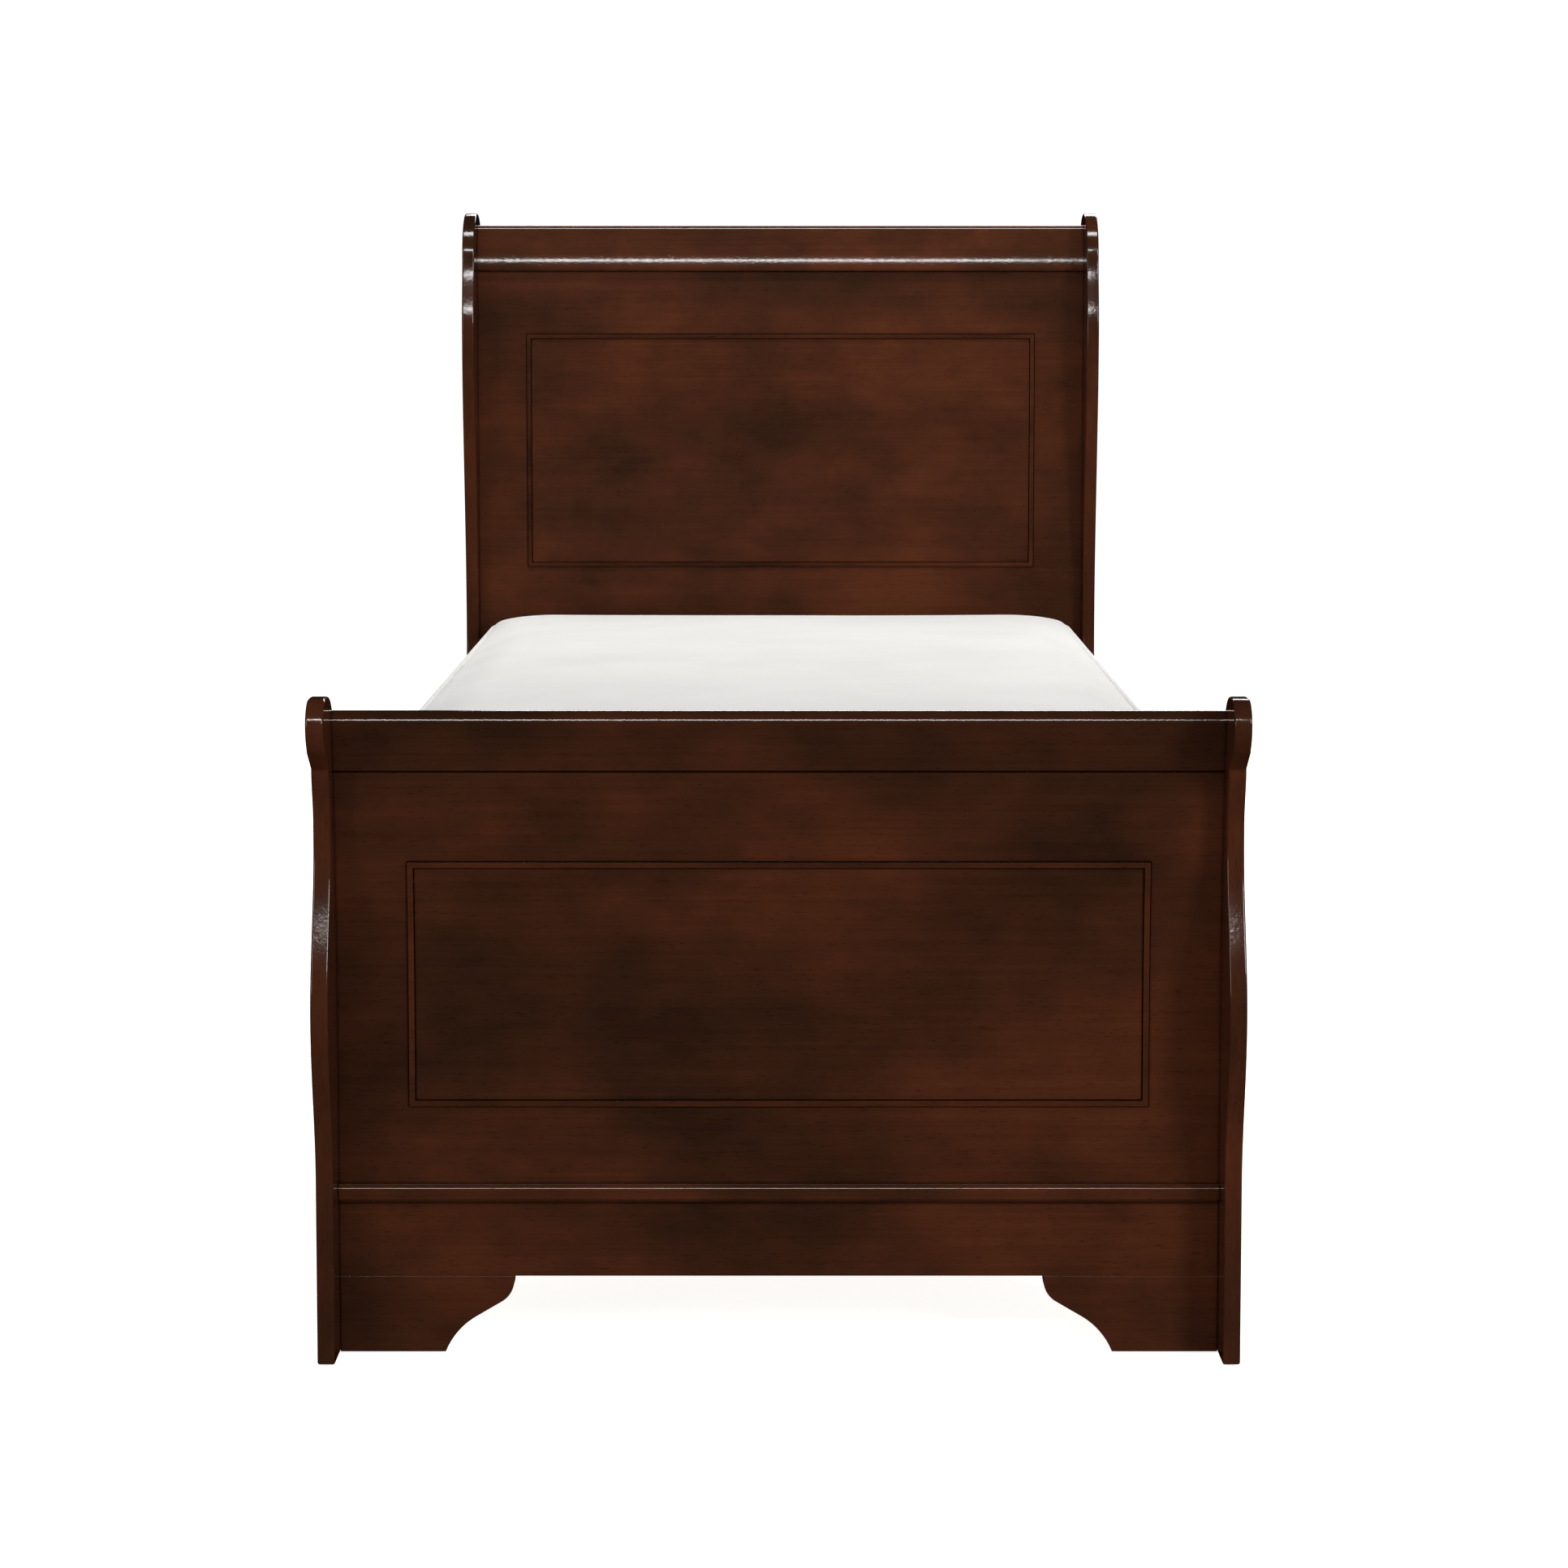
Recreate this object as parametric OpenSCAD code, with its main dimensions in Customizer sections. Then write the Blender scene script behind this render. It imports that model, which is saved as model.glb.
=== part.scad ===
// Sleigh bed, twin size: S-shaped end boards, framed panels, bracket feet, slatted base.
// +X is the width, -Y the foot end, +Y the head end, +Z up. The origin is on the floor, in the middle.

/* [Overall] */
// Width over the two end boards
bed_w = 1070; // [1000:10:1600]
// Length, from the footboard's scroll to the headboard's scroll
bed_l = 2170; // [2140:10:2300]
// Thickness of the S-shaped end boards
post_t = 20.5; // [18:0.5:28]
// Depth of the end boards at the floor
post_depth = 118; // [110:1:125]
// Thickness of the boards that fill head and foot
board_t = 22; // [18:1:24]

/* [Footboard] */
// Height of the footboard's end boards
foot_h = 782; // [760:1:800]
// How far the scroll stands out past the straight foot
foot_scroll_out = 50; // [40:1:60]
// Depth of the scroll, front to back
foot_scroll_depth = 97; // [92:1:110]
// Height of the belly's fullest point
foot_belly_z = 412; // [390:1:430]
// Height of the waist
foot_waist_z = 625; // [600:1:640]
// Top of the top rail
foot_rail_top = 762; // [750:1:770]
// Underside of the top rail
foot_rail_low = 690; // [670:1:700]
// Bottom and top of the inset panel's opening
foot_inset_z = [294, 585];

/* [Headboard] */
// Height of the headboard's end boards
head_h = 1375; // [1340:1:1400]
// How far the scroll stands out past the straight foot
head_scroll_out = 36; // [30:1:50]
// Depth of the scroll, front to back
head_scroll_depth = 153; // [146:1:165]
// Height of the belly's fullest point
head_belly_z = 670; // [640:1:700]
// Height of the waist
head_waist_z = 1180; // [1150:1:1200]
// Top of the top rail
head_rail_top = 1355; // [1345:1:1365]
// Underside of the top rail
head_rail_low = 1278; // [1265:1:1285]
// Bottom and top of the inset panel's opening
head_inset_z = [774, 1172];
// Bottom edge of the headboard's field
head_field_low = 300; // [260:10:400]

/* [Panel trim] */
// Half the width of the inset panels' openings
inset_half_w = 432; // [400:1:440]
// Width of the bead round each inset panel
bead_w = 9; // [6:0.5:12]
// How far the bead stands proud of the field
bead_proud = 3; // [2:0.5:5]
// Width of the quirk, the fine groove along both sides of the bead
quirk_w = 1.2; // [0.8:0.1:2]
// Height of the base moulding
moulding_h = 20; // [16:1:26]
// How far the base moulding stands proud
moulding_proud = 11; // [8:1:14]

/* [Apron and bracket feet] */
// Underside of the apron, on top of the bracket feet
apron_low = 93; // [85:1:100]
// Top of the apron, under the base moulding
apron_top = 183.5; // [175:0.5:190]
// Thickness of the floor glides, which lift the wood off the floor
glide_t = 2.5; // [2:0.5:5]

/* [Side rails and slats] */
// Underside of the side rails
rail_low = 250; // [230:5:270]
// Height of the side rails
rail_h = 200; // [160:5:200]
// Thickness of the side rails
rail_t = 22; // [20:1:24]
// Height of the slats' top face
slat_top = 420; // [400:1:425]
// Width of one slat
slat_w = 70; // [50:5:90]
// Thickness of one slat
slat_t = 18; // [15:1:20]

/* [Mattress] */
// Width of the mattress
mattress_w = 990; // [900:5:1000]
// Length of the mattress
mattress_l = 1905; // [1850:5:1910]
// Top of the mattress
mattress_top = 697; // [640:1:720]

/* [Hidden] */
slat_count = 12;
$fn = 32;
gap = 0.3;                                  // clearance between parts that only lie against each other
foot_y = -bed_l / 2 + foot_scroll_out;      // outer face of the footboard's straight feet
head_y = bed_l / 2 - head_scroll_out;       // outer face of the headboard's straight feet
inner_x = bed_w / 2 - post_t;               // inner face of the end boards
straight_z = rail_low + rail_h;             // the end boards' inner edge is straight up to here
face_in = 53;                               // the fields' faces lie this far in from the straight feet
lean_z = 420;                               // the footboard's field starts to lean out here
foot_lean = 31;                             // how far it leans out, 330 mm higher up
corner_w = 44;                              // corner posts
corner_top = slat_top - 20;
rail_mid_x = inner_x + 1.5;                 // the side rails' centre
rail_in_x = rail_mid_x - rail_t / 2;        // the side rails' inner face
ledger_w = 22;
ledger_h = 30;
beam_w = 22;
beam_h = 40;
leg_w = 40;
leg_low = 30;
leg_y = 520;
hook_t = 3;
hook_h = 150;
hook_low = rail_low;
plate_low = hook_low + 5;
plate_w = 18;
plate_h = hook_h - 10;
plate_x = rail_in_x - (hook_t + plate_w) / 2;
hook_zs = [plate_low + 30, plate_low + 85];  // undersides of the two hooks on each plate
slot_drop = 8;                              // each slot starts this far under its hook
slot_h = 32;                                // and is this high, so that the hook can be lifted in
slot_screw_zs = [plate_low + 12, plate_low + plate_h - 12];
mattress_corner_r = 75;
mattress_mid_y = 10;                        // it lies a little nearer to the headboard
padding_t = 16;                             // thickness of the mattress's padded cover
screw_r = 2;
head_r = 4;
head_t = 2.2;
wood = "#3d1f15";
plain_wood = "#b8935f";
steel = "#8d9094";

// A half-cosine from 0 to 1, level at both ends
function ease(t) = (1 - cos(180 * t)) / 2;

// The value at height z of an eased line through knots [z, value]
function follow(knots, z, i = 0) =
    i >= len(knots) - 1 ? knots[len(knots) - 1][1]
    : z > knots[i + 1][0] ? follow(knots, z, i + 1)
    : knots[i][1] + (knots[i + 1][1] - knots[i][1])
        * ease((z - knots[i][0]) / (knots[i + 1][0] - knots[i][0]));

// Points along that line every 6 mm, from its first bend to its last knot
function eased_line(knots) =
    let (z0 = knots[1][0], z1 = knots[len(knots) - 1][0], n = ceil((z1 - z0) / 6))
    [for (i = [0:n]) let (z = z0 + (z1 - z0) * i / n) [follow(knots, z), z]];

// Points on an arc about c, from angle a0 to a1
function arc(c, r, a0, a1, n = 12) =
    [for (i = [0:n]) let (a = a0 + (a1 - a0) * i / n) c + r * [cos(a), sin(a)]];

function backwards(list) = [for (i = [len(list) - 1:-1:0]) list[i]];

// Outlines below are [distance in from the straight feet's outer face, height].
foot_outer = [[glide_t, 0], [214, 0], [foot_belly_z, -33], [foot_waist_z - 10, 11],
              [foot_waist_z + 10, 11], [foot_h - 84, -2]];
lobe_r = 38;                                // the footboard's scroll curls under with this radius
foot_lobe = concat([[-36, foot_h - 62]],
                   arc([lobe_r - foot_scroll_out, foot_h - 30], lobe_r, 222, 180));
foot_inner = [[glide_t, post_depth], [straight_z, post_depth], [600, 112],
              [foot_h - 48, foot_scroll_depth - foot_scroll_out]];
head_outer = [[glide_t, 0], [300, 0], [head_belly_z, -33], [head_waist_z - 10, 11],
              [head_waist_z + 10, 11], [head_h - 72, -head_scroll_out]];
head_inner = [[glide_t, post_depth], [straight_z, post_depth], [head_belly_z, 82], [head_waist_z, 133],
              [head_h - 72, head_scroll_depth - head_scroll_out]];

// The S-shaped outline: outer edge up, round scroll, inner edge down
function post_outline(outer, lobe, inner, h, scroll_out, scroll_depth, outer_r, inner_r) = concat(
    [[0, glide_t]],
    eased_line(outer),
    lobe,
    arc([outer_r - scroll_out, h - outer_r], outer_r, 180, 90, 16),
    arc([scroll_depth - scroll_out - inner_r, h - inner_r], inner_r, 90, 0, 16),
    backwards(eased_line(inner)),
    [[post_depth, glide_t]]);

// Where the visible face of each field lies at height z
function foot_face(z) = face_in - foot_lean * pow((max(z, lean_z) - lean_z) / 330, 2);
function head_face(z) =
    z < 1100 ? follow([[0, face_in], [620, face_in], [1100, 60]], z) : 60 - 6 * pow((z - 1100) / 255, 2);
function face(end, z) = end == "foot" ? foot_face(z) : head_face(z);
// +1 if going behind the visible face is going inwards
function behind(end) = end == "foot" ? 1 : -1;

// Stands an outline up and runs it along X from x0 to x1
module along_x(x0, x1) translate([x0, 0, 0]) rotate([90, 0, 90]) linear_extrude(x1 - x0) children();

// Puts a piece drawn from the straight feet inwards at its end of the bed
module at_end(end) {
    if (end == "foot") translate([0, foot_y, 0]) children();
    else translate([0, head_y, 0]) mirror([0, 1, 0]) children();
}

// A bent board that follows the field's face, from front to back mm behind it
module bent_board(end, x0, x1, z0, z1, front, back) {
    n = max(1, ceil((z1 - z0) / 24));
    zs = [for (i = [0:n]) z0 + (z1 - z0) * i / n];
    s = behind(end);
    at_end(end) along_x(x0, x1) polygon(concat(
        [for (z = zs) [face(end, z) + s * front, z]],
        [for (z = backwards(zs)) [face(end, z) + s * back, z]]));
}

module sleigh_post(end, side) {
    mid_x = side * (inner_x + post_t / 2);
    color(wood) at_end(end) along_x(mid_x - post_t / 2, mid_x + post_t / 2)
        polygon(end == "foot"
            ? post_outline(foot_outer, foot_lobe, foot_inner,
                           foot_h, foot_scroll_out, foot_scroll_depth, 30, 48)
            : post_outline(head_outer, [], head_inner,
                           head_h, head_scroll_out, head_scroll_depth, 72, 72));
}

// Top rail of the footboard: rounded top edges, chamfered along the groove
module footboard_top_rail() {
    front_r = 14;
    back_r = 8;
    low = foot_face(foot_rail_low);
    front = foot_face(foot_rail_top - front_r);
    groove = 3;
    color(wood) at_end("foot") along_x(-inner_x, inner_x) polygon(concat(
        [[low + groove, foot_rail_low], [low, foot_rail_low + groove]],
        arc([front + front_r, foot_rail_top - front_r], front_r, 180, 90),
        arc([front + board_t - back_r, foot_rail_top - back_r], back_r, 90, 0, 8),
        [[low + board_t, foot_rail_low]]));
}

// Cap rail of the headboard: upright low down, then bending back on a wide curve, rounded top edges
module headboard_top_rail() {
    low_r = 4;
    bend_r = 100;
    top_r = 10;
    lean = 16;
    front = head_face(head_rail_low) + 11;
    bend = [front - bend_r, head_rail_low + low_r];
    bent = bend + bend_r * [cos(lean), sin(lean)];
    rise = head_rail_top - top_r * (1 - sin(lean)) - bent[1];
    top = bent + rise * [-tan(lean), 1] - top_r * [cos(lean), sin(lean)];
    back = top[0] - 22;
    color(wood) at_end("head") along_x(-inner_x, inner_x) polygon(concat(
        [[back, head_rail_low]],
        arc([front - low_r, head_rail_low + low_r], low_r, -90, 0, 6),
        arc(bend, bend_r, 0, lean, 10),
        arc(top, top_r, lean, 90),
        arc([back + top_r, head_rail_top - top_r], top_r, 90, 180)));
}

module upper_rail(end) {
    z = end == "foot" ? [foot_inset_z[1], foot_rail_low] : [head_inset_z[1], head_rail_low];
    color(wood) bent_board(end, -inner_x, inner_x, z[0], z[1], 0, board_t);
}

module lower_rail(end) {
    z = end == "foot" ? [apron_top, foot_inset_z[0]] : [head_field_low, head_inset_z[0]];
    color(wood) bent_board(end, -inner_x, inner_x, z[0], z[1], 0, board_t);
}

module stile(end, side) {
    z = end == "foot" ? foot_inset_z : head_inset_z;
    mid = side * (inner_x + inset_half_w) / 2;
    half = (inner_x - inset_half_w) / 2;
    color(wood) bent_board(end, mid - half, mid + half, z[0], z[1], 0, board_t);
}

// Flush panel with a thinner flange that the bead covers
module inset_panel(end) {
    z = end == "foot" ? foot_inset_z : head_inset_z;
    half = inset_half_w - bead_w;
    color(wood) {
        bent_board(end, -half, half, z[0] + bead_w, z[1] - bead_w, 0, 12);
        bent_board(end, -inset_half_w, inset_half_w, z[0], z[1], 10 + gap, board_t - 2);
    }
}

// A frame of bent board that starts outer and ends inner mm inside an opening's edge
module bead_ring(end, outer, inner, front, back) {
    z = end == "foot" ? foot_inset_z : head_inset_z;
    difference() {
        bent_board(end, outer - inset_half_w, inset_half_w - outer, z[0] + outer, z[1] - outer, front, back);
        bent_board(end, inner - inset_half_w, inset_half_w - inner, z[0] + inner, z[1] - inner,
                   front - 5, back + 5);
    }
}

// Mitred bead round the inset panel, with a quirk on either side
module panel_bead(end) {
    quirk_deep = 2.5;
    color(wood) {
        bead_ring(end, quirk_w, bead_w - quirk_w, -bead_proud, quirk_deep);
        bead_ring(end, 0, bead_w, quirk_deep, 10);
    }
}

// Base moulding: eased top edge, flat face, small step under it
module footboard_base_moulding() {
    r = 6;
    out = face_in - moulding_proud;
    color(wood) at_end("foot") along_x(-inner_x, inner_x) polygon(concat(
        [[face_in, apron_top], [out + 3, apron_top], [out + 3, apron_top + 1.5], [out, apron_top + 3]],
        arc([out + r, apron_top + moulding_h - r], r, 180, 90, 8),
        [[face_in, apron_top + moulding_h]]));
}

module footboard_apron() {
    color(wood) bent_board("foot", -inner_x, inner_x, apron_low, apron_top, 0, board_t);
}

// Ogee cut: upright, a tight round shoulder, a short slope, then a hollow down to the floor
module bracket_foot(side) {
    shoulder_r = 30;
    shoulder = [340, apron_low - 5];
    hollow_r = 86;
    hollow = [311, -29.5];
    color(wood) mirror([side < 0 ? 1 : 0, 0, 0])
        translate([0, foot_y + face_in + board_t, 0]) rotate([90, 0, 0]) linear_extrude(board_t)
        polygon(concat(
            [[shoulder[0] - shoulder_r, apron_low]],
            arc(shoulder, shoulder_r, 180, 240, 14),
            arc(hollow, hollow_r, 60, asin((glide_t - hollow[1]) / hollow_r), 16),
            [[inner_x, glide_t], [inner_x, apron_low]]));
}

// Blocks glued behind each bracket foot: one upright in the corner, one along the apron
module bracket_glue_blocks() {
    y = foot_y + face_in + board_t;
    color(plain_wood) for (side = [-1, 1]) mirror([side < 0 ? 1 : 0, 0, 0]) {
        translate([inner_x - corner_w - 32, y, apron_low - 60]) cube([32, 30, 90]);
        translate([320, y, apron_low - 15]) cube([100, 22, 30]);
    }
}

function corner_in(end) = end == "foot" ? face_in + board_t : face_in;
function corner_depth(end) = post_depth - corner_in(end);

// Hidden corner post, with the slot plate's recess and pockets for the hooks
module corner_post(end, side) {
    x0 = inner_x - corner_w;
    color(plain_wood) at_end(end) mirror([side < 0 ? 1 : 0, 0, 0]) difference() {
        translate([x0, corner_in(end), 20]) cube([corner_w, corner_depth(end), corner_top - 20]);
        translate([plate_x, post_depth - hook_t, plate_low]) cube([plate_w, hook_t + 1, plate_h]);
        for (z = hook_zs)
            translate([rail_in_x - hook_t - 1, post_depth - 16, z - slot_drop])
                cube([hook_t + 2, 17, slot_h]);
        for (z = slot_screw_zs)
            translate([plate_x + plate_w / 2, post_depth - 27, z]) rotate([-90, 0, 0])
                cylinder(h = 28, r = screw_r);
    }
}

module side_rail(side) {
    y0 = foot_y + post_depth + gap;
    y1 = head_y - post_depth - gap;
    color(wood) mirror([side < 0 ? 1 : 0, 0, 0]) difference() {
        translate([rail_in_x, y0, rail_low]) cube([rail_t, y1 - y0, rail_h]);
        for (y = hook_screw_ys, z = hook_screw_zs)
            translate([rail_in_x - 1, y, z]) rotate([0, 90, 0]) cylinder(h = 17, r = screw_r);
        for (y = ledger_screw_ys)
            translate([rail_in_x - 1, y, ledger_mid_z]) rotate([0, 90, 0]) cylinder(h = 13, r = screw_r);
    }
}

ledger_mid_z = slat_top - slat_t - ledger_h / 2;
ledger_y0 = foot_y + post_depth + 60;
ledger_y1 = head_y - post_depth - 60;
ledger_screw_ys = [for (i = [0:6]) ledger_y0 + 60 + i * (ledger_y1 - ledger_y0 - 120) / 6];
hook_screw_ys = [foot_y + post_depth + 30, head_y - post_depth - 30];
hook_screw_zs = [hook_low + 25, hook_low + 75, hook_low + 125];

module slat_ledger(side) {
    color(plain_wood) mirror([side < 0 ? 1 : 0, 0, 0]) difference() {
        translate([rail_in_x - ledger_w, ledger_y0, ledger_mid_z - ledger_h / 2])
            cube([ledger_w, ledger_y1 - ledger_y0, ledger_h]);
        for (y = ledger_screw_ys)
            translate([rail_in_x - ledger_w - 1, y, ledger_mid_z]) rotate([0, 90, 0])
                cylinder(h = ledger_w + 2, r = screw_r);
        for (i = [1:slat_count])
            translate([slat_screw_x, slat_y(i), slat_top - slat_t - 20]) cylinder(h = 21, r = screw_r);
    }
}

// Steel plates on the rails' ends, each with two hooks that drop into the slot plate
module rail_hook_plates() {
    color(steel) for (side = [-1, 1], end = ["foot", "head"])
        at_end(end) mirror([side < 0 ? 1 : 0, 0, 0]) difference() {
            union() {
                translate([rail_in_x - hook_t, post_depth + 1, hook_low]) cube([hook_t, 45, hook_h]);
                for (z = hook_zs) {
                    translate([rail_in_x - hook_t, post_depth - 13, z]) cube([hook_t, 15, 18]);
                    translate([rail_in_x - hook_t, post_depth - 13, z - 6]) cube([hook_t, 8, 8]);
                }
            }
            for (z = hook_screw_zs)
                translate([rail_in_x - hook_t - 1, post_depth + 30, z]) rotate([0, 90, 0])
                    cylinder(h = hook_t + 2, r = screw_r);
        }
}

// Steel plates let into the corner posts, with a slot for each hook
module corner_slot_plates() {
    color(steel) for (side = [-1, 1], end = ["foot", "head"])
        at_end(end) mirror([side < 0 ? 1 : 0, 0, 0]) difference() {
            translate([plate_x, post_depth - hook_t, plate_low]) cube([plate_w, hook_t, plate_h]);
            for (z = hook_zs)
                translate([rail_in_x - hook_t - 1, post_depth - hook_t - 1, z - slot_drop])
                    cube([hook_t + 2, hook_t + 2, slot_h]);
            for (z = slot_screw_zs) translate([plate_x + plate_w / 2, post_depth, z]) rotate([90, 0, 0]) {
                translate([0, 0, -1]) cylinder(h = hook_t + 2, r = screw_r);
                translate([0, 0, -1]) cylinder(h = head_t + 1.1, r = head_r + 0.1);
            }
        }
}

// A wood screw driven along +Z from its head's underside at z = 0
module screw(length) {
    cylinder(h = length, r = screw_r - 0.05);
    translate([0, 0, -head_t]) cylinder(h = head_t, r = head_r);
}

module hook_plate_screws() {
    color(steel) for (side = [-1, 1], end = ["foot", "head"], z = hook_screw_zs)
        at_end(end) mirror([side < 0 ? 1 : 0, 0, 0])
            translate([rail_in_x - hook_t, post_depth + 30, z]) rotate([0, 90, 0]) screw(18);
}

module slot_plate_screws() {
    color(steel) for (side = [-1, 1], end = ["foot", "head"], z = slot_screw_zs)
        at_end(end) mirror([side < 0 ? 1 : 0, 0, 0])
            translate([plate_x + plate_w / 2, post_depth - head_t, z]) rotate([90, 0, 0]) screw(24);
}

module ledger_screws() {
    color(steel) for (side = [-1, 1], y = ledger_screw_ys) mirror([side < 0 ? 1 : 0, 0, 0])
        translate([rail_in_x - ledger_w, y, ledger_mid_z]) rotate([0, 90, 0]) screw(33);
}

slat_len = 2 * rail_in_x - 4;
slat_screw_x = rail_in_x - ledger_w / 2;
function slat_y(i) = ledger_y0 + slat_w / 2 + (i - 1) * (ledger_y1 - ledger_y0 - slat_w) / (slat_count - 1);

module slat(i) {
    color(plain_wood) difference() {
        translate([-slat_len / 2, slat_y(i) - slat_w / 2, slat_top - slat_t])
            cube([slat_len, slat_w, slat_t]);
        for (side = [-1, 1]) translate([side * slat_screw_x, slat_y(i), slat_top]) {
            translate([0, 0, -slat_t - 1]) cylinder(h = slat_t + 2, r = screw_r);
            translate([0, 0, -head_t]) cylinder(h = 3, r = head_r + 0.1);
        }
    }
}

// Countersunk flush with the slats' top faces
module slat_screws() {
    color(steel) for (side = [-1, 1], i = [1:slat_count])
        translate([side * slat_screw_x, slat_y(i), slat_top - head_t]) mirror([0, 0, 1]) screw(33);
}

module centre_beam() {
    color(plain_wood) translate([-beam_w / 2, ledger_y0, slat_top - slat_t - beam_h])
        cube([beam_w, ledger_y1 - ledger_y0, beam_h]);
}

// Square leg, with a forked top that straddles the beam
module centre_leg(end) {
    y = end == "foot" ? -leg_y : leg_y;
    top = slat_top - slat_t - gap;
    color(plain_wood) difference() {
        translate([-leg_w / 2, y - leg_w / 2, leg_low]) cube([leg_w, leg_w, top - leg_low]);
        translate([-beam_w / 2, y - leg_w, slat_top - slat_t - beam_h])
            cube([beam_w, 2 * leg_w, beam_h + 1]);
        translate([0, y, leg_low - 1]) cylinder(h = 31, r = 4);
    }
}

// Screw feet that take up an uneven floor
module levelling_feet() {
    color("#1b1b1c") for (y = [-leg_y, leg_y]) translate([0, y, 0]) {
        cylinder(h = 8, r = 18);
        cylinder(h = leg_low + 25, r = 3.95);
    }
}

// Plain plastic discs nailed under the end boards
module floor_glides() {
    color("#1b1b1c") for (side = [-1, 1], end = ["foot", "head"], d = [22, post_depth - 22])
        at_end(end) translate([side * (inner_x + post_t / 2), d, 0]) cylinder(h = glide_t, r = 8);
}

// The mattress seen from above, drawn in by inset
module mattress_plan(inset) {
    r = mattress_corner_r - inset;
    w = mattress_w / 2 - mattress_corner_r;
    l = mattress_l / 2 - mattress_corner_r;
    polygon(concat(arc([w, l], r, 0, 90), arc([-w, l], r, 90, 180),
                   arc([-w, -l], r, 180, 270), arc([w, -l], r, 270, 360)));
}

// Padded cover, closed all round; the space inside is where the springs are
module mattress() {
    low = slat_top + gap;
    height = mattress_top - low;
    color("#e9e8e5") translate([0, mattress_mid_y, low]) difference() {
        linear_extrude(height) mattress_plan(0);
        translate([0, 0, padding_t]) linear_extrude(height - 2 * padding_t) mattress_plan(padding_t);
    }
}

sleigh_post("foot", -1);  // footboard_post_left
sleigh_post("foot", 1);  // footboard_post_right
footboard_top_rail();
upper_rail("foot");  // footboard_upper_rail
lower_rail("foot");  // footboard_lower_rail
stile("foot", -1);  // footboard_stile_left
stile("foot", 1);  // footboard_stile_right
inset_panel("foot");  // footboard_inset_panel
panel_bead("foot");  // footboard_panel_bead
footboard_base_moulding();
footboard_apron();
bracket_foot(-1);  // bracket_foot_left
bracket_foot(1);  // bracket_foot_right
bracket_glue_blocks();
corner_post("foot", -1);  // footboard_corner_post_left
corner_post("foot", 1);  // footboard_corner_post_right
sleigh_post("head", -1);  // headboard_post_left
sleigh_post("head", 1);  // headboard_post_right
headboard_top_rail();
upper_rail("head");  // headboard_upper_rail
lower_rail("head");  // headboard_lower_rail
stile("head", -1);  // headboard_stile_left
stile("head", 1);  // headboard_stile_right
inset_panel("head");  // headboard_inset_panel
panel_bead("head");  // headboard_panel_bead
corner_post("head", -1);  // headboard_corner_post_left
corner_post("head", 1);  // headboard_corner_post_right
side_rail(-1);  // side_rail_left
side_rail(1);  // side_rail_right
slat_ledger(-1);  // slat_ledger_left
slat_ledger(1);  // slat_ledger_right
rail_hook_plates();
corner_slot_plates();
hook_plate_screws();
slot_plate_screws();
ledger_screws();
slat_screws();
centre_beam();
centre_leg("foot");  // centre_leg_foot
centre_leg("head");  // centre_leg_head
levelling_feet();
floor_glides();
mattress();
for (i = [1:slat_count]) slat(i);
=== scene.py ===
# Sleigh bed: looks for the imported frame. Metres, +Z up, the footboard towards -Y.
import math

import bmesh
import bpy
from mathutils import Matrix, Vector, noise
from mathutils.bvhtree import BVHTree


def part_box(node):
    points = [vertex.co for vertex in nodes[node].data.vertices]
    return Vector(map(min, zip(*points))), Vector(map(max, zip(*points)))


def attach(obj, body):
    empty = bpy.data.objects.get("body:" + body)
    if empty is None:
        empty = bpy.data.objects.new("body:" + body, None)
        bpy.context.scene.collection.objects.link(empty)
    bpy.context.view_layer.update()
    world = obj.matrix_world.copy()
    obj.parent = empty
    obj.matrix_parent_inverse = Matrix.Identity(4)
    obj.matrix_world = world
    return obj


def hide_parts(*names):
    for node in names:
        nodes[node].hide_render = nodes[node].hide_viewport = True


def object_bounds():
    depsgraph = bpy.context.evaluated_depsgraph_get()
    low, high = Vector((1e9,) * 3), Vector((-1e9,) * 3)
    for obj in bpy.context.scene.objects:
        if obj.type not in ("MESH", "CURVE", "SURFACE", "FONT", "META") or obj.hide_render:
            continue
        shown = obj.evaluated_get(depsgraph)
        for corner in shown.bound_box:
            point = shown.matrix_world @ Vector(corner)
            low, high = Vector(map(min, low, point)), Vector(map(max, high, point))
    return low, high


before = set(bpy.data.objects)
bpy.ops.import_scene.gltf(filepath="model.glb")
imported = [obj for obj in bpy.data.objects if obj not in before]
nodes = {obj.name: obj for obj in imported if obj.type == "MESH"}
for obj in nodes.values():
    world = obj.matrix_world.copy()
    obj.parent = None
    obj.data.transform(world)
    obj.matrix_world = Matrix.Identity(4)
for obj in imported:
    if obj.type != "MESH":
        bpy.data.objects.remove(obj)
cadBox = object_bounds()
scene = bpy.context.scene
print("frame loaded:", len(nodes), "nodes")


def toLinear(hexColour):
    channels = [int(hexColour[i:i + 2], 16) / 255 for i in (1, 3, 5)]
    linear = [c / 12.92 if c <= 0.04045 else ((c + 0.055) / 1.055) ** 2.4 for c in channels]
    return (*linear, 1.0)


def perMetre(millimetres):  # texture scale that gives a feature of this size
    return 1000 / millimetres


def addNode(tree, kind, settings=None, inputs=None, links=None):
    node = tree.nodes.new("ShaderNode" + kind)
    for key, value in (settings or {}).items():
        setattr(node, key, value)
    for key, value in (inputs or {}).items():
        node.inputs[key].default_value = value
    for key, source in (links or {}).items():
        tree.links.new(source, node.inputs[key])
    return node


def newMaterial(name):
    material = bpy.data.materials.new(name)
    material.use_nodes = True
    tree = material.node_tree
    return material, tree, tree.nodes["Principled BSDF"]


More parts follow.
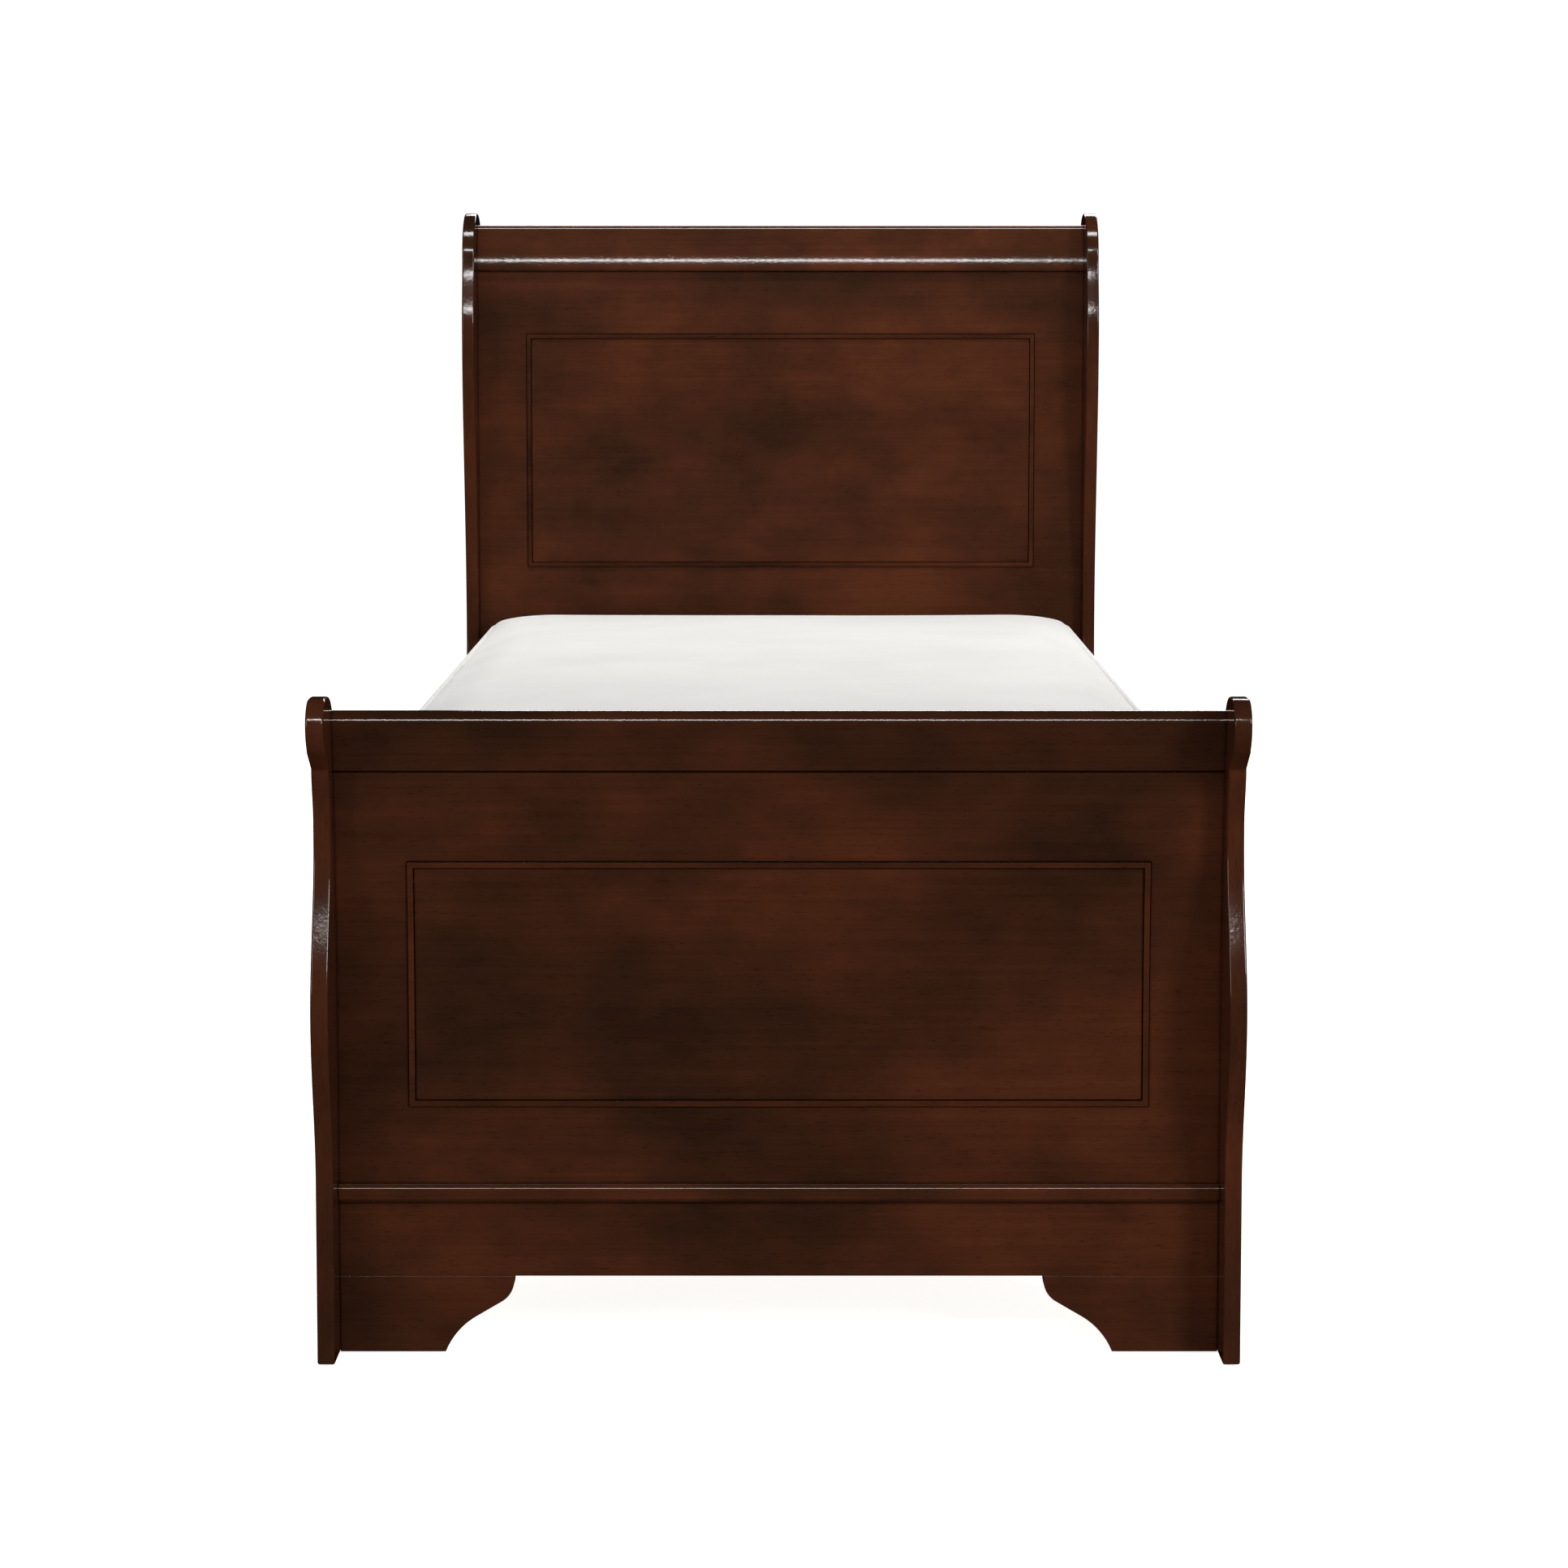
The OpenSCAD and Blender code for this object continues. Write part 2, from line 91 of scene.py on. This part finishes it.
def setRamp(node, stops):
    ramp = node.color_ramp
    while len(ramp.elements) < len(stops):
        ramp.elements.new(0.5)
    for element, (position, colour) in zip(ramp.elements, stops):
        element.position = position
        element.color = toLinear(colour)


def addObject(name, mesh):
    piece = bpy.data.objects.new(name, mesh)
    scene.collection.objects.link(piece)
    return piece


# The camera stands in front of the footboard, at about eye level
view = {
    "lens": 81.8,       # mm, on a 36 mm sensor
    "distance": 3.993,  # from the footboard's scroll
    "height": 1.242,
    "side": 0.006,
    "pitch": 4.62,      # degrees down
    "shift": -0.13,     # keeps the uprights nearly parallel
}
cameraData = bpy.data.cameras.new("camera")
cameraData.sensor_width = 36
cameraData.lens = view["lens"]
cameraData.shift_y = view["shift"]
camera = addObject("camera", cameraData)
camera.location = (view["side"], cadBox[0][1] - view["distance"], view["height"])
camera.rotation_euler = (math.radians(90 - view["pitch"]), 0, 0)
scene.camera = camera
scene.view_settings.view_transform = "Standard"

# White studio: softboxes as place, target, width, height, watts and spread in degrees.
# The overhead one is narrow, so that it misses the footboard
studio = {
    "floorColour": "#f6f6f5",
    "floorSize": 60,
    "floorGlow": 0.9,       # the floor is lit from below as well
    "backdropStrength": 1.05,
    "roomStrength": 0.45,
    "key": ((3.6, -4.9, 2.6), (0.1, -0.4, 0.6), 1.2, 1.5, 145, 180),
    "overhead": ((0, -0.3, 3.7), (0, 0.74, 0.6), 2.6, 0.5, 7.5, 50),
    "front": ((-0.15, -5.5, 3.2), (0, -0.4, 0.7), 2.4, 0.4, 75, 180),
    "fill": ((-3.6, -4.6, 1.7), (0, -0.4, 0.6), 0.8, 1.8, 42, 180),
    "back": ((0.6, 4.4, 3.2), (0, 0.4, 0.6), 3.0, 1.2, 90, 180),
}


def addSoftbox(name):
    place, target, width, height, watts, spread = studio[name]
    data = bpy.data.lights.new(name, "AREA")
    data.shape = "RECTANGLE"
    data.size = width
    data.size_y = height
    data.energy = watts
    data.spread = math.radians(spread)
    light = addObject(name, data)
    light.location = place
    light.rotation_euler = (Vector(target) - Vector(place)).to_track_quat("-Z", "Y").to_euler()


def buildRoom():
    world = bpy.data.worlds.new("studio")
    scene.world = world
    world.use_nodes = True
    tree = world.node_tree
    room = tree.nodes["Background"]
    room.inputs["Strength"].default_value = studio["roomStrength"]
    room.inputs["Color"].default_value = toLinear("#ffffff")
    seen = addNode(tree, "Background", {},
                   {"Color": toLinear("#ffffff"), "Strength": studio["backdropStrength"]})
    rays = addNode(tree, "LightPath")
    both = addNode(tree, "MixShader", {}, {}, {0: rays.outputs["Is Camera Ray"],
                                               1: room.outputs["Background"],
                                               2: seen.outputs["Background"]})
    tree.links.new(both.outputs["Shader"], tree.nodes["World Output"].inputs["Surface"])
    world.cycles_visibility.glossy = False      # the lacquer mirrors the softboxes only


def buildFloor():
    # Matt white paint: pale and even
    material, tree, shader = newMaterial("mattWhitePaint")
    shader.inputs["Base Color"].default_value = toLinear(studio["floorColour"])
    shader.inputs["Roughness"].default_value = 0.9
    shader.inputs["Emission Color"].default_value = toLinear(studio["floorColour"])
    shader.inputs["Emission Strength"].default_value = studio["floorGlow"]
    half = studio["floorSize"] / 2
    mesh = bpy.data.meshes.new("studioFloor")
    mesh.from_pydata([(-half, -half, 0), (half, -half, 0), (half, half, 0), (-half, half, 0)], [],
                     [(0, 1, 2, 3)])
    mesh.materials.append(material)
    floor = addObject("studioFloor", mesh)
    floor.visible_glossy = False
    floor.visible_diffuse = False       # the room lights the bed from below, not the floor


for softbox in ("key", "overhead", "front", "fill", "back"):
    addSoftbox(softbox)
buildRoom()
buildFloor()
print("studio lit")

# Cherry stain on close-grained hardwood, under sprayed lacquer
cherry = {
    "stops": ((0.31, "#29170d"), (0.48, "#381d11"), (0.66, "#472414")),
    "cloudAlong": 290,      # mm, soft clouds where the stain took unevenly
    "cloudAcross": 180,
    "streakAlong": 300,     # mm, growth streaks
    "streakAcross": 5,
    "streakContrast": 0.1,
    "poreAlong": 11,        # mm, drawn about twice the real size so that they show
    "poreAcross": 1.4,
    "poreTone": 0.68,       # how much darker the stain is in a pore
    "poreDepth": 0.0001,    # metres
    "peel": 5,              # mm, slow ripple of the sprayed coat
    "peelDepth": 0.0005,    # metres
    "relief": 0.16,
    "paintedShadeReach": 0.005,    # metres, how far the painted shade reaches out of a corner
    # how dark the painted shade makes the stain in a tight corner
    "paintedShadeTone": 0.25,
    "roughness": 0.45,
    "woodGloss": 0.0,       # lacquer and wood bend light alike, so only the lacquer shines
    "coatRoughness": 0.12,
}


def alongGrain(tree, grain, along, across, shift):
    # coordinates that stretch a pattern along the grain
    scale = [perMetre(across)] * 3
    scale["xyz".index(grain)] = perMetre(along)
    place = addNode(tree, "TexCoord")
    return addNode(tree, "Mapping", {}, {"Location": shift, "Scale": scale},
                   {"Vector": place.outputs["Object"]}).outputs["Vector"]


def cherryLacquered(name, grain="x", tone=1.0, shift=(0, 0, 0)):
    # Cloudy red-brown with fine dark pores, with painted shade darkening the corners and grooves,
    # and thin glints that waver with the lacquer's ripple
    material, tree, shader = newMaterial(name)
    clouds = addNode(tree, "TexNoise", {}, {"Scale": 1.0, "Detail": 4.0, "Roughness": 0.6},
                     {"Vector": alongGrain(tree, grain, cherry["cloudAlong"], cherry["cloudAcross"],
                                           shift)})
    stain = addNode(tree, "ValToRGB", {}, {}, {"Fac": clouds.outputs["Fac"]})
    setRamp(stain, cherry["stops"])
    streaks = addNode(tree, "TexNoise", {}, {"Scale": 1.0, "Detail": 5.0, "Roughness": 0.6},
                      {"Vector": alongGrain(tree, grain, cherry["streakAlong"], cherry["streakAcross"],
                                            shift)})
    streakTone = addNode(tree, "MapRange", {}, {"From Min": 0.3, "From Max": 0.7,
                                                "To Min": (1 - cherry["streakContrast"]) * tone,
                                                "To Max": (1 + cherry["streakContrast"]) * tone},
                         {"Value": streaks.outputs["Fac"]})
    streaked = addNode(tree, "VectorMath", {"operation": "SCALE"}, {},
                       {0: stain.outputs["Color"], "Scale": streakTone.outputs["Result"]})
    pores = addNode(tree, "TexNoise", {}, {"Scale": 1.0, "Detail": 2.0, "Roughness": 0.5},
                    {"Vector": alongGrain(tree, grain, cherry["poreAlong"], cherry["poreAcross"], shift)})
    poreMask = addNode(tree, "MapRange", {}, {"From Min": 0.61, "From Max": 0.70},
                       {"Value": pores.outputs["Fac"]})
    poreTone = addNode(tree, "MapRange", {}, {"To Min": 1.0, "To Max": cherry["poreTone"]},
                       {"Value": poreMask.outputs["Result"]})
    porous = addNode(tree, "VectorMath", {"operation": "SCALE"}, {},
                     {0: streaked.outputs["Vector"], "Scale": poreTone.outputs["Result"]})
    # painted shade: ambient occlusion darkens the stain in corners and grooves, where shade falls
    corners = addNode(tree, "AmbientOcclusion", {"samples": 6}, {"Distance": cherry["paintedShadeReach"]})
    paintedCornerShade = addNode(tree, "MapRange", {}, {"From Min": 0.35, "From Max": 0.85,
                                           "To Min": cherry["paintedShadeTone"], "To Max": 1.0},
                    {"Value": corners.outputs["AO"]})
    cornerShaded = addNode(tree, "VectorMath", {"operation": "SCALE"}, {},
                     {0: porous.outputs["Vector"], "Scale": paintedCornerShade.outputs["Result"]})
    poreDip = addNode(tree, "Bump", {"invert": True},
                      {"Strength": cherry["relief"], "Distance": cherry["poreDepth"]},
                      {"Height": poreMask.outputs["Result"]})
    place = addNode(tree, "TexCoord")
    peel = addNode(tree, "TexNoise", {}, {"Scale": perMetre(cherry["peel"]), "Detail": 1.0},
                   {"Vector": place.outputs["Object"]})
    ripple = addNode(tree, "Bump", {}, {"Strength": cherry["relief"], "Distance": cherry["peelDepth"]},
                     {"Height": peel.outputs["Fac"], "Normal": poreDip.outputs["Normal"]})
    tree.links.new(cornerShaded.outputs["Vector"], shader.inputs["Base Color"])
    tree.links.new(ripple.outputs["Normal"], shader.inputs["Normal"])
    tree.links.new(ripple.outputs["Normal"], shader.inputs["Coat Normal"])
    shader.inputs["Roughness"].default_value = cherry["roughness"]
    shader.inputs["IOR"].default_value = 1.5
    shader.inputs["Specular IOR Level"].default_value = cherry["woodGloss"]
    shader.inputs["Coat Weight"].default_value = 1.0
    shader.inputs["Coat Roughness"].default_value = cherry["coatRoughness"]
    shader.inputs["Coat IOR"].default_value = 1.5
    return material


pine = {
    "stops": ((0.36, "#cfa873"), (0.52, "#bf945c"), (0.66, "#96693a")),
    "ringAlong": 700,       # mm
    "ringAcross": 12,
    "roughness": 0.62,
}


def planedPine(name, grain):
    # Planed pine, unfinished: straw bands with darker late wood, dry and matt
    material, tree, shader = newMaterial(name)
    rings = addNode(tree, "TexNoise", {}, {"Scale": 1.0, "Detail": 4.0, "Distortion": 0.3},
                    {"Vector": alongGrain(tree, grain, pine["ringAlong"], pine["ringAcross"], (3, 1, 2))})
    bands = addNode(tree, "ValToRGB", {}, {}, {"Fac": rings.outputs["Fac"]})
    setRamp(bands, pine["stops"])
    relief = addNode(tree, "Bump", {}, {"Strength": 0.3, "Distance": 0.0003},
                     {"Height": rings.outputs["Fac"]})
    tree.links.new(bands.outputs["Color"], shader.inputs["Base Color"])
    tree.links.new(relief.outputs["Normal"], shader.inputs["Normal"])
    shader.inputs["Roughness"].default_value = pine["roughness"]
    shader.inputs["IOR"].default_value = 1.5
    return material


zinc = {"stops": ((0.35, "#8f949b"), (0.65, "#c3c7cc")), "spangle": 7, "smooth": 0.26, "dull": 0.46}


def zincPlatedSteel():
    # Zinc-plated pressed steel: cool satin grey with a faint cloudy spangle
    material, tree, shader = newMaterial("zincPlatedSteel")
    place = addNode(tree, "TexCoord")
    spangle = addNode(tree, "TexNoise", {}, {"Scale": perMetre(zinc["spangle"]), "Detail": 3.0},
                      {"Vector": place.outputs["Object"]})
    tint = addNode(tree, "ValToRGB", {}, {}, {"Fac": spangle.outputs["Fac"]})
    setRamp(tint, zinc["stops"])
    haze = addNode(tree, "MapRange", {}, {"To Min": zinc["smooth"], "To Max": zinc["dull"]},
                   {"Value": spangle.outputs["Fac"]})
    tree.links.new(tint.outputs["Color"], shader.inputs["Base Color"])
    tree.links.new(haze.outputs["Result"], shader.inputs["Roughness"])
    shader.inputs["Metallic"].default_value = 1.0
    return material


nylon = {"stops": ((0.4, "#161617"), (0.6, "#262627")), "grit": 1.5, "roughness": 0.55}


def mouldedNylon():
    # Moulded black nylon: dull, with the faint grain of its mould
    material, tree, shader = newMaterial("mouldedNylon")
    place = addNode(tree, "TexCoord")
    grit = addNode(tree, "TexNoise", {}, {"Scale": perMetre(nylon["grit"]), "Detail": 2.0},
                   {"Vector": place.outputs["Object"]})
    tint = addNode(tree, "ValToRGB", {}, {}, {"Fac": grit.outputs["Fac"]})
    setRamp(tint, nylon["stops"])
    relief = addNode(tree, "Bump", {}, {"Strength": 0.2, "Distance": 0.0002},
                     {"Height": grit.outputs["Fac"]})
    tree.links.new(tint.outputs["Color"], shader.inputs["Base Color"])
    tree.links.new(relief.outputs["Normal"], shader.inputs["Normal"])
    shader.inputs["Roughness"].default_value = nylon["roughness"]
    shader.inputs["IOR"].default_value = 1.53
    return material


ticking = {
    "stops": ((0.35, "#e7e5e2"), (0.65, "#eceae7")),
    "cloud": 160,       # mm, faint unevenness of the cloth
    "loop": 2.4,        # mm, knitted loops, drawn about twice the real size
    "tuft": 46,         # mm, rows of small needled dimples
    "roughness": 0.85,
}


def knittedTicking(name, tufted):
    # Knitted polyester ticking: white, matt, with fine loops and small needled dimples
    material, tree, shader = newMaterial(name)
    place = addNode(tree, "TexCoord")
    clouds = addNode(tree, "TexNoise", {}, {"Scale": perMetre(ticking["cloud"]), "Detail": 3.0},
                     {"Vector": place.outputs["Object"]})
    tint = addNode(tree, "ValToRGB", {}, {}, {"Fac": clouds.outputs["Fac"]})
    setRamp(tint, ticking["stops"])
    loops = addNode(tree, "TexVoronoi", {}, {"Scale": perMetre(ticking["loop"]), "Randomness": 0.35},
                    {"Vector": place.outputs["Object"]})
    knit = addNode(tree, "Bump", {"invert": True}, {"Strength": 0.35, "Distance": 0.0006},
                   {"Height": loops.outputs["Distance"]})
    surface = knit
    if tufted:
        tufts = addNode(tree, "TexVoronoi", {}, {"Scale": perMetre(ticking["tuft"]), "Randomness": 0.12},
                        {"Vector": place.outputs["Object"]})
        dimple = addNode(tree, "MapRange", {"interpolation_type": "SMOOTHSTEP"},
                         {"From Min": 0.0, "From Max": 0.22}, {"Value": tufts.outputs["Distance"]})
        surface = addNode(tree, "Bump", {}, {"Strength": 0.5, "Distance": 0.002},
                          {"Height": dimple.outputs["Result"], "Normal": knit.outputs["Normal"]})
    tree.links.new(tint.outputs["Color"], shader.inputs["Base Color"])
    tree.links.new(surface.outputs["Normal"], shader.inputs["Normal"])
    shader.inputs["Roughness"].default_value = ticking["roughness"]
    shader.inputs["Sheen Weight"].default_value = 0.15
    shader.inputs["Sheen Roughness"].default_value = 0.5
    return material


materials = {
    "panels": cherryLacquered("cherryLacqueredPanels", "x"),
    # painted light: the headboard's panels and top rail take lighter copies of the same cherry stain, and
    # the rail's copy is a painted sheen
    "headPanelsPaintedLight": cherryLacquered("cherryLacqueredHeadPanelsPaintedLight", "x", 1.22, (1.3, 0, 0.6)),
    "headRailPaintedSheen": cherryLacquered("cherryLacqueredHeadRailPaintedSheen", "x", 1.4, (5, 0, 3)),
    "trim": cherryLacquered("cherryLacqueredTrim", "x", 1.0, (0, 0, 7)),
    "posts": cherryLacquered("cherryLacqueredPosts", "z", 1.0, (2, 4, 0)),
    "sideRails": cherryLacquered("cherryLacqueredSideRails", "y", 1.0, (0, 3, 5)),
    "pineAcross": planedPine("planedPineAcross", "x"),
    "pineAlong": planedPine("planedPineAlong", "y"),
    "pineUpright": planedPine("planedPineUpright", "z"),
    "steel": zincPlatedSteel(),
    "nylon": mouldedNylon(),
}
print("materials mixed")

# Finish of each node: how its name starts, its material, the radius of its eased edges in mm,
# and the steps round each edge
finishes = (
    ("footboard_post", "posts", 2.6, 4),
    ("headboard_post", "posts", 2.6, 4),
    ("footboard_corner_post", "pineUpright", 1.5, 2),
    ("headboard_corner_post", "pineUpright", 1.5, 2),
    ("footboard_panel_bead", "trim", 2.4, 4),
    ("headboard_panel_bead", "trim", 2.4, 4),
    ("footboard_base_moulding", "trim", 0.6, 2),
    ("headboard_top_rail", "headRailPaintedSheen", 0.3, 2),
    ("footboard_apron", "panels", 0.5, 2),
    ("footboard", "panels", 0.05, 1),
    ("headboard", "headPanelsPaintedLight", 0.05, 1),
    ("bracket_foot", "panels", 0.8, 2),
    ("bracket_glue", "pineAcross", 1.0, 2),
    ("side_rail", "sideRails", 2.5, 3),
    ("slat_ledger", "pineAlong", 1.5, 2),
    ("slat_screws", "steel", 0.2, 2),
    ("slat_", "pineAcross", 1.5, 2),
    ("centre_beam", "pineAlong", 1.5, 2),
    ("centre_leg", "pineUpright", 1.5, 2),
    ("levelling_feet", "nylon", 1.0, 3),
    ("floor_glides", "nylon", 0.4, 2),
    ("", "steel", 0.3, 2),
)
easing = {"weld": 0.00001, "flat": 0.05, "corner": 28, "faceWeight": 60}     # metres, degrees


def finishFor(name):
    for start, material, radius, steps in finishes:
        if name.startswith(start):
            return material, radius, steps


def easeEdges(node, radius, steps):
    weld = node.modifiers.new("weld", "WELD")
    weld.merge_threshold = easing["weld"]
    flats = node.modifiers.new("flats", "DECIMATE")
    flats.decimate_type = "DISSOLVE"
    flats.angle_limit = math.radians(easing["flat"])
    bevel = node.modifiers.new("easedEdge", "BEVEL")
    bevel.width = radius / 1000
    bevel.segments = steps
    bevel.limit_method = "ANGLE"
    bevel.angle_limit = math.radians(easing["corner"])
    normals = node.modifiers.new("normals", "WEIGHTED_NORMAL")
    normals.weight = easing["faceWeight"]


for name, node in nodes.items():
    if name != "mattress":
        material, radius, steps = finishFor(name)
        node.material_slots[0].material = materials[material]
        easeEdges(node, radius, steps)
print("frame finished")

# Sprung mattress: domed panels, a bulging border with two stitched lines, and taped edges
mattress = {
    "cornerRadius": 0.075,
    "inset": 0.007,         # the cover starts this far inside, and swells outwards
    "seamBelowTop": 0.016,
    "seamAboveBase": 0.020,
    "dome": 0.004,          # height of the top panel's rise before it swells
    "voxel": 0.014,
    "pressure": 2.2,
    "frames": 20,
    "swellLimit": 0.009,
    "stitchDepth": 0.005,
    "stitchWidth": 0.009,
    "waves": 0.001,
    "waveSize": 260,        # mm
    "tapeRadius": 0.0042,
    "seamHold": 0.007,      # how far from a seam the cover is held
    "sideReach": 0.022,     # and how far in from the sides
    "baseHold": 0.012,      # the base rests on the slats up to here
    "borderReach": 0.03,    # the border's stitching goes in this far
}
mattressLow, mattressHigh = [Vector(corner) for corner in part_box("mattress")]
mattressMid = (mattressLow + mattressHigh) / 2
mattressHalf = (mattressHigh - mattressLow) / 2
topSeam = mattressHigh.z - mattress["seamBelowTop"]
baseSeam = mattressLow.z + mattress["seamAboveBase"]


def mattressRing(inset, z, cornerSteps=12):
    # the mattress's outline seen from above, drawn in by inset
    radius = max(mattress["cornerRadius"] - inset, 0.02)
    reach = [half - inset - radius for half in mattressHalf[:2]]
    points = []
    for quarter, (sx, sy) in enumerate(((1, 1), (-1, 1), (-1, -1), (1, -1))):
        for step in range(cornerSteps + 1):
            angle = math.pi / 2 * (quarter + step / cornerSteps)
            points.append(Vector((mattressMid.x + sx * reach[0] + radius * math.cos(angle),
                                  mattressMid.y + sy * reach[1] + radius * math.sin(angle), z)))
    return points


def depthInside(point):
    # how far a point lies inside the outline, seen from above
    radius = mattress["cornerRadius"]
    dx = abs(point.x - mattressMid.x) - (mattressHalf.x - radius)
    dy = abs(point.y - mattressMid.y) - (mattressHalf.y - radius)
    if dx > 0 and dy > 0:
        return radius - math.hypot(dx, dy)
    return radius - max(dx, dy)


def mattressCover():
    start = mattress["inset"]
    dome = mattress["dome"]
    profile = (                                 # inset and height of each ring, base to top
        (start + 0.030, mattressLow.z + 0.003),
        (start + 0.012, mattressLow.z + 0.005),
        (start + 0.001, baseSeam),
        (start + 0.003, (baseSeam + topSeam) / 2),
        (start + 0.001, topSeam),
        (start + 0.006, mattressHigh.z - 0.007),
        (start + 0.020, mattressHigh.z - 0.003),
        (start + 0.120, mattressHigh.z - 0.003 + 0.4 * dome),
        (start + 0.300, mattressHigh.z - 0.003 + 0.8 * dome),
    )
    cover = bmesh.new()
    rings = [[cover.verts.new(point) for point in mattressRing(*step)] for step in profile]
    count = len(rings[0])
    for lower, upper in zip(rings, rings[1:]):
        for i in range(count):
            j = (i + 1) % count
            cover.faces.new((lower[i], lower[j], upper[j], upper[i]))
    cover.faces.new(list(reversed(rings[0])))
    cover.faces.new(rings[-1])
    mesh = bpy.data.meshes.new("mattressCover")
    cover.to_mesh(mesh)
    cover.free()
    return addObject("mattressCover", mesh)


def applyModifiers(piece):
    evaluated = piece.evaluated_get(bpy.context.evaluated_depsgraph_get())
    mesh = bpy.data.meshes.new_from_object(evaluated)
    piece.modifiers.clear()
    piece.data = mesh


def heldStill(point):
    # the base on the slats, and the two taped seams
    onSeam = min(abs(point.z - topSeam), abs(point.z - baseSeam)) < mattress["seamHold"]
    onBase = point.z < mattressLow.z + mattress["baseHold"]
    return onBase or onSeam and depthInside(point) < mattress["sideReach"]


def swell(piece):
    before = [vertex.co.copy() for vertex in piece.data.vertices]
    pins = piece.vertex_groups.new(name="held")
    pins.add([i for i, point in enumerate(before) if heldStill(point)], 1.0, "REPLACE")
    cloth = piece.modifiers.new("cloth", "CLOTH")
    cloth.settings.use_pressure = True
    cloth.settings.uniform_pressure_force = mattress["pressure"]
    cloth.settings.effector_weights.gravity = 0
    cloth.settings.vertex_group_mass = "held"
    cloth.settings.quality = 4
    cloth.point_cache.frame_start = 1
    cloth.point_cache.frame_end = mattress["frames"]
    for step in range(1, mattress["frames"] + 1):
        scene.frame_set(step)
    applyModifiers(piece)
    scene.frame_set(1)
    for vertex, start in zip(piece.data.vertices, before):
        move = vertex.co - start
        if move.length > mattress["swellLimit"]:
            vertex.co = start + move.normalized() * mattress["swellLimit"]


def stitchBorder(mesh):
    lines = [baseSeam + (topSeam - baseSeam) * part for part in (0.33, 0.67)]
    normals = [vertex.normal.copy() for vertex in mesh.vertices]
    for vertex, normal in zip(mesh.vertices, normals):
        if depthInside(vertex.co) < mattress["borderReach"] and abs(normal.z) < 0.6:
            away = min(abs(vertex.co.z - line) for line in lines)
            vertex.co -= normal * mattress["stitchDepth"] * math.exp(-(away / mattress["stitchWidth"]) ** 2)
        elif vertex.co.z > topSeam:
            wave = noise.noise(vertex.co * perMetre(mattress["waveSize"]))
            vertex.co.z += mattress["waves"] * wave


def seamPath(cover, z):
    # the outline at this height, drawn onto the cover so that the tape is sewn to it all round
    mesh = cover.data
    surface = BVHTree.FromPolygons([vertex.co for vertex in mesh.vertices],
                                   [face.vertices for face in mesh.polygons])
    return [surface.find_nearest(point)[0] for point in mattressRing(mattress["inset"], z, 16)]


def sweepTape(name, path):
    sides = 10
    tape = bmesh.new()
    rings = []
    for i, point in enumerate(path):
        ahead = (path[(i + 1) % len(path)] - path[i - 1]).normalized()
        out = Vector((ahead.y, -ahead.x, 0))
        rings.append([])
        for side in range(sides):
            angle = 2 * math.pi * side / sides
            reach = out * math.cos(angle) + Vector((0, 0, 1)) * math.sin(angle)
            rings[-1].append(tape.verts.new(point + reach * mattress["tapeRadius"]))
    for i, ring in enumerate(rings):
        after = rings[(i + 1) % len(rings)]
        for side in range(sides):
            other = (side + 1) % sides
            tape.faces.new((ring[side], ring[other], after[other], after[side]))
    bmesh.ops.recalc_face_normals(tape, faces=tape.faces)
    mesh = bpy.data.meshes.new(name)
    tape.to_mesh(mesh)
    tape.free()
    mesh.shade_smooth()
    return addObject(name, mesh)


def buildMattress():
    cover = mattressCover()
    remesh = cover.modifiers.new("remesh", "REMESH")
    remesh.mode = "VOXEL"
    remesh.voxel_size = mattress["voxel"]
    applyModifiers(cover)
    swell(cover)
    stitchBorder(cover.data)
    soften = cover.modifiers.new("soften", "SMOOTH")
    soften.factor = 0.5
    soften.iterations = 3
    finer = cover.modifiers.new("finer", "SUBSURF")
    finer.levels = 1
    finer.render_levels = 1
    applyModifiers(cover)
    cover.data.materials.clear()
    cover.data.materials.append(knittedTicking("knittedTicking", True))
    cover.data.shade_smooth()
    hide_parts("mattress")
    tape = knittedTicking("wovenEdgeTape", False)
    pieces = [cover, sweepTape("mattressTapeTop", seamPath(cover, topSeam)),
              sweepTape("mattressTapeBase", seamPath(cover, baseSeam))]
    for piece in pieces[1:]:
        piece.data.materials.append(tape)
    for piece in pieces:
        piece.visible_glossy = False    # the lacquer mirrors the softboxes only
        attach(piece, "mattress")


buildMattress()
print("mattress made")
